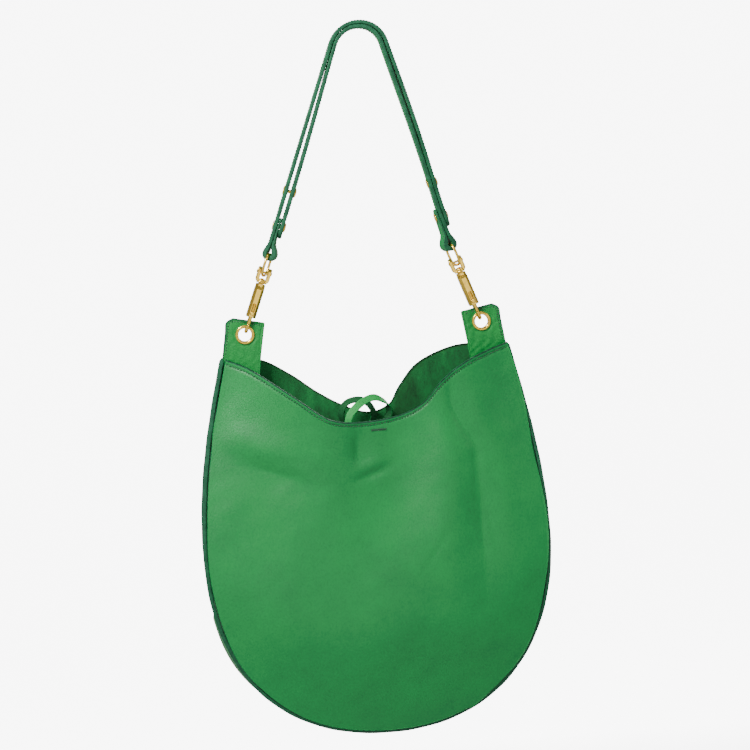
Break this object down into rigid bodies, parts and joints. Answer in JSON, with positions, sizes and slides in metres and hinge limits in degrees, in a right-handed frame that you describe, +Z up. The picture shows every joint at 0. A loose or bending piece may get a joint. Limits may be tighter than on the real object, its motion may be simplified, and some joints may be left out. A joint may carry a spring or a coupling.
{
  "type": "shoulder bag",
  "caption": "Round-bottomed leather shoulder bag with an open mouth, a folding gusset, a laced tie and a double strap on swivel clips.",
  "frame": {"origin": "underside of the strap at the bag's centre plane, where a hook or a shoulder carries it", "axes": "+Z up as it hangs, +X to the viewer's right seen from the front, the front panel faces -Y"},
  "size_m": [0.3698, 0.1167, 0.7583],
  "materials": {
    "panel_leather": "soft full-grain leather, fine pebble, satin",
    "gusset_leather": "same leather, slightly creased",
    "suede_lining": "short-nap suede, matt",
    "painted_edge": "painted leather edge, dark green, semi-matt",
    "strap_leather": "firm strap leather, satin, slightly bluer green",
    "lace_leather": "soft lace leather",
    "gold_plate": "polished light gold plate",
    "spring_steel": "spring wire"
  },
  "bodies": {
    "strap": {"outer_strap": "strap_leather", "inner_strap": "strap_leather", "left_lower_stud": "gold_plate", "left_lower_stud_cap": "gold_plate", "left_upper_stud": "gold_plate", "left_upper_stud_cap": "gold_plate", "right_lower_stud": "gold_plate", "right_lower_stud_cap": "gold_plate", "right_upper_stud": "gold_plate", "right_upper_stud_cap": "gold_plate", "left_ring": "gold_plate", "right_ring": "gold_plate"},
    "yokes": {"left_yoke": "gold_plate", "right_yoke": "gold_plate", "left_yoke_pin": "gold_plate", "right_yoke_pin": "gold_plate"},
    "left_clip": {"left_clip_body": "gold_plate", "left_clip_spring": "spring_steel", "left_clip_rivet": "gold_plate"},
    "left_bolt": {"left_clip_bolt": "gold_plate"},
    "right_clip": {"right_clip_body": "gold_plate", "right_clip_spring": "spring_steel", "right_clip_rivet": "gold_plate"},
    "right_bolt": {"right_clip_bolt": "gold_plate"},
    "tabs": {"left_tab": "gusset_leather", "left_eyelet_front": "gold_plate", "left_eyelet_back": "gold_plate", "right_tab": "gusset_leather", "right_eyelet_front": "gold_plate", "right_eyelet_back": "gold_plate"},
    "bag": {"front_panel": "panel_leather", "back_panel": "panel_leather", "gusset": "gusset_leather", "front_lining": "suede_lining", "back_lining": "suede_lining", "front_seam_edge": "painted_edge", "back_seam_edge": "painted_edge", "front_lace": "lace_leather", "back_lace": "lace_leather"}
  },
  "joints": [
    {"name": "strap_fold", "type": "hinge", "parent": "strap", "child": "yokes", "pos_m": [0, 0, -0.25297], "axis": [1, 0, 0], "range_deg": [-25, 25]},
    {"name": "handle_swing", "type": "hinge", "parent": "yokes", "child": "tabs", "pos_m": [0, 0, -0.31026], "axis": [1, 0, 0], "range_deg": [-7.5, 7.5]},
    {"name": "bag_tilt", "type": "hinge", "parent": "tabs", "child": "bag", "pos_m": [0, 0, -0.3422], "axis": [1, 0, 0], "range_deg": [-60, 60]},
    {"name": "left_swivel", "type": "hinge", "parent": "yokes", "child": "left_clip", "pos_m": [-0.1278, 0, -0.3184], "axis": [0.3518, 0, 0.9361], "range_deg": [-15, 15]},
    {"name": "left_gate", "type": "slide", "parent": "left_clip", "child": "left_bolt", "axis": [0.3518, 0, 0.9361], "range_m": [0, 0.008], "stiffness_N_per_m": 250, "springref_m": -0.004, "deforming": ["left_clip_spring"]},
    {"name": "right_swivel", "type": "hinge", "parent": "yokes", "child": "right_clip", "pos_m": [0.1278, 0, -0.3184], "axis": [-0.3518, 0, 0.9361], "range_deg": [-15, 15]},
    {"name": "right_gate", "type": "slide", "parent": "right_clip", "child": "right_bolt", "axis": [-0.3518, 0, 0.9361], "range_m": [0, 0.008], "stiffness_N_per_m": 250, "springref_m": -0.004, "deforming": ["right_clip_spring"]}
  ]
}
